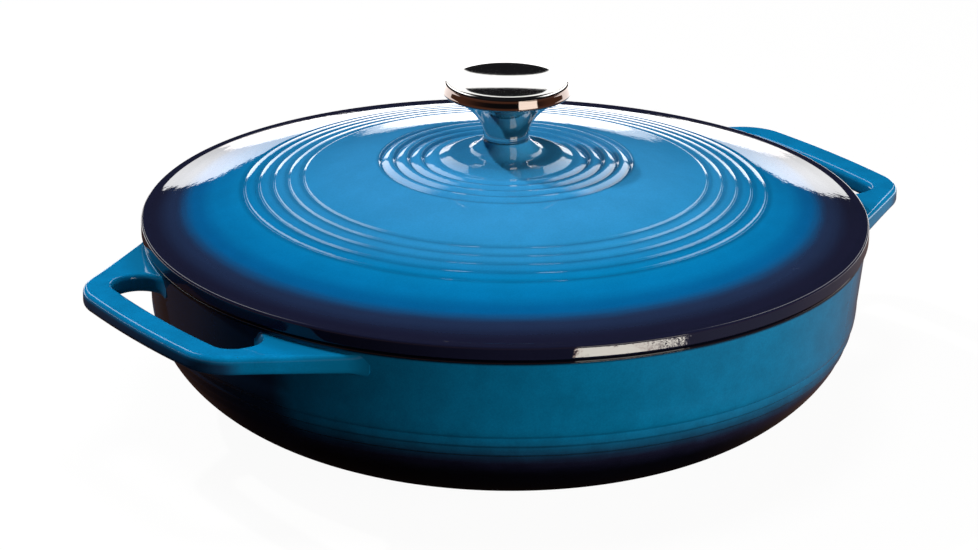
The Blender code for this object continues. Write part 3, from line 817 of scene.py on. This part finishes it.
def pot_profile():
    """From the middle of the floor up the inside, over the rim and down the outside."""
    centre = (BASE_RADIUS, CORNER_HEIGHT)
    inside = [(radius, POT_FLOOR) for radius in spaced(0.0, BASE_RADIUS - 3.0, 8.0)]
    inside += arc(centre, (CORNER_WIDTH - WALL, CORNER_HEIGHT - POT_FLOOR), -90.0, 0.0, 40)
    mouth = POT_RADIUS - WALL
    below = POT_HEIGHT - 4.0
    rim = rounded([(mouth - 0.3, below, 0.0), (mouth, POT_HEIGHT, 0.8), (POT_RADIUS, POT_HEIGHT, 1.6),
                   (wall_radius(below), below, 0.0)], 6)
    wall = [(wall_radius(height), height) for height in spaced(POT_HEIGHT - 6.0, GROOVES_TOP, 1.5)]
    grooves = []
    for ring in range(STEP_RINGS["Count"]):
        bottom = -STEP_RINGS["First"] - ring * STEP_RINGS["Pitch"]
        heights = spaced(bottom + STEP_RINGS["Lead in"], bottom, 0.12)
        heights += spaced(bottom - 0.15, bottom - STEP_RINGS["Lead out"] + 0.1, 0.3)
        grooves += [(wall_radius(height), height) for height in heights]
    angle = math.degrees(math.asin((CORNER_HEIGHT - GROOVES_BOTTOM) / CORNER_HEIGHT))
    corner = arc(centre, (CORNER_WIDTH, CORNER_HEIGHT), -angle, -90.0, 36)
    base = [(radius, 0.0) for radius in spaced(BASE_RADIUS - 3.0, 0.0, 8.0)]
    bare, glazed = rim[:BARE_RIM_POINTS], rim[BARE_RIM_POINTS:]
    return (coated(inside, INSIDE) + coated(bare, BARE) + coated(glazed + wall, OUTSIDE)
            + coated(grooves, OUTSIDE, 1.0) + coated(corner + base, OUTSIDE))


def knob_profile():
    """From the middle of the top over the edge, down the stem and up the tapped hole."""
    lower = KNOB_RADIUS - KNOB_LOWER_ROUND
    under = KNOB_TOP - KNOB_CROWN - 0.5 - KNOB_BAND - KNOB_LOWER_ROUND
    flat = KNOB_RADIUS - KNOB_BORDER
    top = [(radius, KNOB_TOP - KNOB_CROWN * (radius / KNOB_RADIUS) ** 2)
           for radius in spaced(0.0, flat - 0.6, 0.9)]
    shoulder = top[-1][1] - 0.06 - KNOB_BORDER_FALL
    border = arc((flat, shoulder), (KNOB_BORDER - KNOB_TAPER, KNOB_BORDER_FALL), 84.0, 4.0, 18)
    low = under + 0.8
    band = [(KNOB_RADIUS - KNOB_TAPER * share, low + (shoulder - 0.15 - low) * share)
            for share in spaced(1.0, 0.0, 0.25)]
    edge = rounded([(KNOB_RADIUS, low, 0.0), (KNOB_RADIUS, under - 0.1, KNOB_BAND_ROUND),
                    (lower - 1.0, under - 0.3, 0.0)], 6)[1:]
    stem = [(STEM_RADIUS + (lower - STEM_RADIUS) * share ** STEM_CURVE,
             KNOB_BOTTOM + (under - KNOB_BOTTOM) * share) for share in spaced(0.94, 0.0, 0.02)]
    foot = [(STEM_RADIUS - 0.25, KNOB_BOTTOM), (HOLE_RADIUS + 0.4, KNOB_BOTTOM)]
    bore = [(HOLE_RADIUS, height)
            for height in [KNOB_BOTTOM + 0.4] + spaced(KNOB_BOTTOM + 1.4, BORE_END, 1.0)]
    bore += [(0.0, BORE_END + 1.6)]
    return coated(top + border + band + edge + stem + foot + bore, OUTSIDE)


# Handles, in millimetres

def bar_side(reach, side):
    """Distance from the axis of a bowed handle side, at this distance from its middle."""
    return reach - HANDLE_BOW * (side / HANDLE_TIP_HALF) ** 2


def resampled(points, parts, gather=1.0):
    """A line divided anew into parts; gather above 1 draws them towards its end."""
    lengths = [0.0]
    for (x, y), (next_x, next_y) in zip(points, points[1:]):
        lengths.append(lengths[-1] + math.hypot(next_x - x, next_y - y))
    result = []
    for i in range(parts + 1):
        goal = lengths[-1] * (1 - (1 - i / parts) ** gather)
        k = 0
        while k < len(points) - 2 and lengths[k + 1] < goal:
            k += 1
        share = (goal - lengths[k]) / (lengths[k + 1] - lengths[k])
        result.append(tuple(a + (b - a) * share for a, b in zip(points[k], points[k + 1])))
    return result


def outer_half():
    """Outer outline from the tip's middle to the wall: the bow, the corner and the root."""
    turn = math.pi / 2 - HANDLE_FLARE
    start = HANDLE_TIP_HALF - HANDLE_CORNER * math.tan(turn / 2)
    bow = [(bar_side(HANDLE_REACH, side), side) for side in spaced(0.0, start, 3.0)]
    centre = (bar_side(HANDLE_REACH, start) - HANDLE_CORNER, start)
    corner = arc(centre, (HANDLE_CORNER, HANDLE_CORNER), 0.0, math.degrees(turn), 24)
    way = Vector((-math.cos(HANDLE_FLARE), math.sin(HANDLE_FLARE)))
    out = Vector((math.sin(HANDLE_FLARE), math.cos(HANDLE_FLARE)))
    beside = Vector(corner[-1]) + out * OUTER_ROOT
    reach = wall_radius(HANDLE_MIDDLE) + OUTER_ROOT
    along = beside.dot(way)
    length = -along - math.sqrt(along ** 2 - beside.length_squared + reach ** 2)
    middle = beside + way * length
    first = math.degrees(math.atan2(-out.y, -out.x))
    last = math.degrees(math.atan2(-middle.y, -middle.x))
    sweep = (last - first + 180) % 360 - 180
    root = arc(middle, (OUTER_ROOT, OUTER_ROOT), first, first + OUTER_ROOT_SHARE * sweep, 12)
    return bow, corner, [corner[-1]] + root


def inner_half():
    """Outline of the finger opening from the tip's middle to the wall, in the same stretches."""
    straight = OPENING_HALF - OPENING_CORNER
    reach = HANDLE_REACH - HANDLE_BAR
    bow = [(bar_side(reach, side), side) for side in spaced(0.0, straight, 3.0)]
    centre = (bar_side(reach, straight) - OPENING_CORNER, straight)
    corner = arc(centre, (OPENING_CORNER, OPENING_CORNER), 0.0, 90.0, 16)
    side = OPENING_HALF - OPENING_ROOT
    middle = (math.sqrt((wall_radius(HANDLE_MIDDLE) + OPENING_ROOT) ** 2 - side ** 2), side)
    lean = math.degrees(math.atan2(middle[1], middle[0]))
    root = arc(middle, (OPENING_ROOT, OPENING_ROOT), 90.0, 180.0 + OPENING_ROOT_SHARE * lean, 24)
    return bow, corner, [corner[-1]] + root


def even_half(stretches):
    """Half of an outline, divided the same way on the outside and in the opening."""
    bow, corner, root = stretches
    bow, corner = resampled(bow, BOW_PARTS)[:-1], resampled(corner, CORNER_PARTS)[:-1]
    return bow + corner + resampled(root, ROOT_PARTS, ROOT_GATHER)


def outline_pairs():
    """Pairs of outer and inner outline points from wall to wall round the loop."""
    half = list(zip(even_half(outer_half()), even_half(inner_half())))
    wall = wall_radius(HANDLE_MIDDLE)
    at_wall = half[-1]
    for depth in (0.4, 1.2, HANDLE_SUNK):
        pair = []
        for x, y in at_wall:
            size = math.hypot(x, y)
            pair.append((x * (wall - depth) / size, y * (wall - depth) / size))
        half.append(tuple(pair))
    other = [((ox, -oy), (ix, -iy)) for (ox, oy), (ix, iy) in reversed(half[1:])]
    return other + half


def section_shares(width):
    """Places across the bar from the inner side to the outer, and how far down each is."""
    places = []
    round_share = min(HANDLE_ROUND / width, 0.45)
    for i in range(9):
        angle = math.radians(90.0 * i / 8)
        places.append((round_share * (1 - math.sin(angle)), HANDLE_ROUND * (1 - math.cos(angle))))
    inner = list(reversed(places))
    across = [(round_share + (1 - 2 * round_share) * i / 14, 0.0) for i in range(1, 14)]
    outer = [(1 - share, down) for share, down in places]
    return inner + across + outer


def bar_sides(pair, turn):
    """The upper and the lower side of the bar at one pair of outline points, in metres."""
    (outer_x, outer_y), (inner_x, inner_y) = pair
    outer_far, outer_turn = math.hypot(outer_x, outer_y), math.atan2(outer_y, outer_x)
    inner_far, inner_turn = math.hypot(inner_x, inner_y), math.atan2(inner_y, inner_x)
    width = math.hypot(outer_x - inner_x, outer_y - inner_y)
    sides = []
    for side in (1, -1):
        points = []
        for share, down in section_shares(width):
            far = inner_far + (outer_far - inner_far) * share
            bearing = inner_turn + (outer_turn - inner_turn) * share + turn
            gap = max(0.0, far - wall_radius(HANDLE_MIDDLE))
            height = HANDLE_THICKNESS / 2 - down
            height += ROOT_RISE * max(0.0, 1 - gap / ROOT_RISE / ROOT_SLOPE) ** 2
            level = HANDLE_MIDDLE + side * height
            points.append((far * math.cos(bearing) * MM, far * math.sin(bearing) * MM, level * MM))
        sides.append(points)
    return sides


def handle(name, turn, material):
    """One loop handle, its roots flowing into the wall."""
    shape = bmesh.new()
    rings = []
    for pair in outline_pairs():
        upper, lower = [[shape.verts.new(point) for point in side] for side in bar_sides(pair, turn)]
        rings.append(upper + list(reversed(lower)))
    for ring, following in zip(rings, rings[1:]):
        for i in range(len(ring)):
            k = (i + 1) % len(ring)
            shape.faces.new((ring[i], ring[k], following[k], following[i]))
    shape.faces.new(rings[0])
    shape.faces.new(rings[-1])
    bmesh.ops.recalc_face_normals(shape, faces=shape.faces)
    mesh = bpy.data.meshes.new(name)
    shape.to_mesh(mesh)
    shape.free()
    mesh.materials.append(material)
    mesh.shade_smooth()
    return in_scene(name, mesh)


# Studio

def floor_card(tree, point, far, turn):
    """1 on a strip of floor before the pot that the lid's skirt mirrors, torn at its right end."""
    ahead = tree.line(turn, CARD_PIVOT, CARD_SLANT, far)
    strip = tree.times(tree.span(ahead, *CARD_NEAR_EDGE), tree.span(ahead, *CARD_FAR_EDGE))
    ragged = tree.sway(tree.noise(point, 60.0, 4.0, 0.7), CARD_RAGGED)
    off = tree.plus(tree.distance(turn, CARD_TURN), ragged)
    card = tree.times(strip, tree.span(off, *CARD_ENDS))
    holes = tree.span(tree.noise(point, 210.0), 0.47, 0.55)
    torn = tree.times(holes, tree.span(turn, *CARD_TORN))
    return tree.times(card, tree.minus(1.0, torn))


def mirrored_floor(tree):
    """The floor that glossy surfaces see: white far behind, a card ahead, brown at the sides."""
    point = tree.point()
    far = tree.vector("LENGTH", point)
    away = tree.dot(point, AWAY)
    right = tree.dot(point, RIGHT)
    turn = tree.math("DEGREES", tree.math("ARCTAN2", right, tree.times(away, -1.0)))
    card = floor_card(tree, point, far, turn)
    behind = tree.times(tree.span(away, *FLOOR_BEHIND), 2.3)
    beside = tree.times(tree.span(right, *FLOOR_BESIDE), tree.span(far, *FLOOR_NEAR, 0.0, 0.17))
    level = tree.most(behind, beside, FLOOR_LEAST, tree.times(card, CARD_GLOW))
    tint = tree.mix(tree.span(right, 0.16, 0.28), FLOOR_WARM, FLOOR_COOL)
    tint = tree.mix(tree.span(away, 0.26, 0.34), tint, WHITE)
    tint = tree.mix(card, tint, CARD_WARM)
    sides = tree.times(tree.span(tree.math("ABSOLUTE", right), 0.10, 0.16), tree.span(away, -0.10, 0.0))
    sides = tree.times(sides, tree.span(right, -0.05, 0.05, 0.4, 0.55))
    around = tree.times(tree.span(far, *FLOOR_AROUND), 1.6)
    brown = tree.glow(FLOOR_BROWN, tree.most(sides, around))
    return tree.add("ShaderNodeAddShader", tree.glow(tint, level), brown)


def studio_floor():
    """A plain pale floor that keeps the shadow, with another one for the glossy surfaces."""
    mesh = bpy.data.meshes.new("studio_floor")
    shape = bmesh.new()
    bmesh.ops.create_grid(shape, x_segments=2, y_segments=2, size=FLOOR_SIZE)
    shape.to_mesh(mesh)
    shape.free()
    floor = in_scene("studio_floor", mesh)
    floor.location = (0.0, 0.0, -FLOOR_GAP)
    material, tree, shader = shader_tree("pale_floor")
    nodes = material.node_tree.nodes
    nodes.remove(shader)
    path = nodes.new("ShaderNodeLightPath").outputs
    shadowed = tree.add("ShaderNodeBsdfDiffuse", (0.05, 0.05, 0.05))
    seen = tree.add("ShaderNodeAddShader", tree.glow(WHITE, 0.955), shadowed)
    dim = tree.add("ShaderNodeBsdfDiffuse", (0.08, 0.08, 0.08))
    lit = tree.add("ShaderNodeMixShader", path["Is Camera Ray"], dim, seen)
    lit = tree.add("ShaderNodeMixShader", path["Is Glossy Ray"], lit, mirrored_floor(tree))
    tree.fill(nodes["Material Output"].inputs["Surface"], lit)
    mesh.materials.append(material)


def white_behind(tree, raised, aside):
    """1 on the white straight behind, whose upper edge climbs to either side."""
    edge = tree.math("MINIMUM", tree.line(aside, 0.0, WHITE_CLIMB, WHITE_START), WHITE_TOP)
    white = tree.span(tree.minus(raised, edge), -0.4, 0.4, 1.0, 0.0)
    return tree.times(white, tree.span(aside, *WHITE_END))


def side_panels(tree, raised, aside):
    """1 on two tall panels behind that lean outwards, one on either side."""
    inner = tree.line(raised, 20.0, 0.2, PANEL_INNER)
    outer = tree.line(raised, 18.0, 0.75, PANEL_OUTER)
    from_inner = tree.span(tree.minus(aside, inner), -0.5, 0.5)
    to_outer = tree.span(tree.minus(aside, outer), 0.8, -0.8)
    return tree.times(from_inner, to_outer, tree.span(raised, *PANEL_FOOT), tree.span(raised, *PANEL_TOP))


def mirrored_room(tree, direction, height):
    """The room that glossy surfaces see: white and two panels behind, a window, dim elsewhere."""
    raised = tree.math("DEGREES", tree.math("ARCSINE", height))
    bearing = tree.math("ARCTAN2", tree.dot(direction, RIGHT), tree.dot(direction, AWAY))
    bearing = tree.math("DEGREES", bearing)
    aside = tree.math("ABSOLUTE", bearing)
    bright = tree.most(white_behind(tree, raised, aside), side_panels(tree, raised, aside))
    strength = tree.span(aside, *WHITE_LEVEL)
    window = tree.times(tree.span(tree.distance(bearing, WINDOW_BEARING), *WINDOW_SIDES),
                        tree.span(tree.distance(raised, WINDOW_HEIGHT), *WINDOW_ENDS))
    front = tree.mix(tree.span(raised, *ROOM_FADE), ROOM_BROWN, ROOM_DARK)
    room = tree.mix(tree.span(aside, 30.0, 60.0), ROOM_DARK, front)
    room = tree.mix(bright, room, tree.add("ShaderNodeCombineXYZ", strength, strength, strength))
    return tree.mix(window, room, WINDOW_LIGHT)


def studio_world():
    """White for the camera, a room for the glossy surfaces, and soft light for the others."""
    world = bpy.data.worlds.new("studio")
    bpy.context.scene.world = world
    world.use_nodes = True
    nodes = world.node_tree.nodes
    tree = Tree(world.node_tree)
    direction = tree.add("ShaderNodeTexCoord", out=0)
    height = tree.part(direction, 2)
    path = nodes.new("ShaderNodeLightPath").outputs
    soft = tree.mix(tree.span(height, 0.0, 0.5), (0.008, 0.008, 0.008), (0.06, 0.06, 0.064))
    colour = tree.mix(path["Is Glossy Ray"], soft, mirrored_room(tree, direction, height))
    colour = tree.mix(path["Is Camera Ray"], colour, WHITE)
    tree.fill(nodes["Background"].inputs["Color"], colour)
    nodes["Background"].inputs["Strength"].default_value = 1.0


def area_lamp(name, place, target, size, radiance, colour, shape="RECTANGLE"):
    """A lamp of the given size that sends the given radiance towards its target."""
    data = bpy.data.lights.new(name, "AREA")
    data.shape = shape
    data.size, data.size_y = size
    area = size[0] * size[1] * (math.pi / 4 if shape == "DISK" else 1.0)
    data.energy = radiance * area * math.pi
    data.color = colour
    lamp = in_scene(name, data)
    lamp.location = place
    lamp.rotation_euler = (Vector(target) - Vector(place)).to_track_quat("-Z", "Y").to_euler()
    lamp.visible_camera = False
    return lamp


def oval(tree, aside, raised, half_width, half_height):
    """1 inside an oval about a point, and 0 outside, from the distances to that point."""
    squares = [tree.math("POWER", tree.math("DIVIDE", tree.math("ABSOLUTE", off), half * MM), 2.0)
               for off, half in ((aside, half_width), (raised, half_height))]
    return tree.span(tree.plus(*squares), 1.06, 0.94)


def knob_card(knob):
    """A white card with two oval holes, that only the knob's top mirrors."""
    lamp = area_lamp("knob_card", KNOB_CARD_PLACE, KNOB_CARD_TARGET, KNOB_CARD_SIZE, KNOB_CARD_GLOW, WHITE)
    lamp.visible_diffuse = False
    lamp.data.use_nodes = True
    nodes = lamp.data.node_tree.nodes
    tree = Tree(lamp.data.node_tree)
    place = tree.vector("SUBTRACT", tree.add("ShaderNodeNewGeometry"), tuple(KNOB_CARD_PLACE))
    aside = tree.dot(place, RIGHT)
    raised = tree.part(place, 2)
    far_hole = oval(tree, aside, tree.minus(raised, FAR_HOLE * MM), HOLE_HALF_WIDTH, FAR_HOLE_HALF)
    near_hole = oval(tree, aside, tree.minus(raised, NEAR_HOLE * MM), HOLE_HALF_WIDTH, NEAR_HOLE_HALF)
    near_hole = tree.times(near_hole, tree.span(raised, NEAR_HOLE_EDGE * MM, NEAR_HOLE * MM))
    hole = tree.most(far_hole, near_hole)
    tree.fill(nodes["Emission"].inputs["Strength"], tree.math("SUBTRACT", 1.0, hole, clamp=True))
    served = bpy.data.collections.new("knob_card_serves")
    served.objects.link(knob)
    lamp.light_linking.receiver_collection = served


def studio_lamps(knob):
    """A soft lamp overhead, a small one behind to the left, a warm one to the right, and a card."""
    for name, settings in LAMPS.items():
        area_lamp(name, *settings).visible_glossy = False
    knob_card(knob)


def studio_camera():
    """The camera where the picture was taken from."""
    data = bpy.data.cameras.new("camera")
    data.lens = CAMERA_LENS
    data.sensor_width = CAMERA_SENSOR
    camera = in_scene("camera", data)
    turn = VIEW_DIRECTION.to_track_quat("-Z", "Y").to_matrix().to_4x4()
    camera.matrix_world = Matrix.Translation(CAMERA_PLACE) @ turn @ Matrix.Rotation(CAMERA_ROLL, 4, "Z")
    bpy.context.scene.camera = camera


def main():
    """Loads the frame, dresses it, and lights it."""
    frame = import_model()
    studio_camera()
    blue_lid, sand, black = lid_enamel(), sand_enamel(), bare_rim()
    blue_pot = pot_enamel("enamel_pot_blue", WALL_BLUE, wall_shade_and_black_rim)
    blue_handle = pot_enamel("enamel_handle_blue", HANDLE_BLUE, handle_blend_and_shade)
    steel = turned_steel()
    lid = turned_piece("lid_casting", lid_profile(), 256, (blue_lid, sand, black),
                       {"Inner rings": INNER_RINGS, "Outer rings": OUTER_RINGS})
    pot = turned_piece("pot_casting", pot_profile(), 256, (blue_pot, sand, black),
                       {"Step rings": STEP_RINGS}, (0.0, 0.0, -1.0), (-1.0, 0.0, 0.0))
    knob = turned_piece("knob_turned", knob_profile(), 128, (steel, steel, steel))
    right = handle("handle_right", 0.0, blue_handle)
    left = handle("handle_left", math.pi, blue_handle)
    for piece, body, node, slot in (
            (pot, "pot", "pot", "pot_enamel"), (right, "pot", "pot", "pot_enamel"),
            (left, "pot", "pot", "pot_enamel"), (lid, "lid", "lid", "lid_enamel"),
            (knob, "lid", "knob", "polished_steel")):
        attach(piece, body)
        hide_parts(node)
    for node, grain in (("knob_screw", 900.0), ("lock_washer", 1400.0)):
        plated = frame["nodes"][node]
        plated.material_slots[0].material = zinc_plate("zinc_" + node, grain)
    studio_floor()
    studio_world()
    studio_lamps(knob)
    bpy.context.scene.view_settings.view_transform = "Standard"
    bpy.context.view_layer.update()


main()
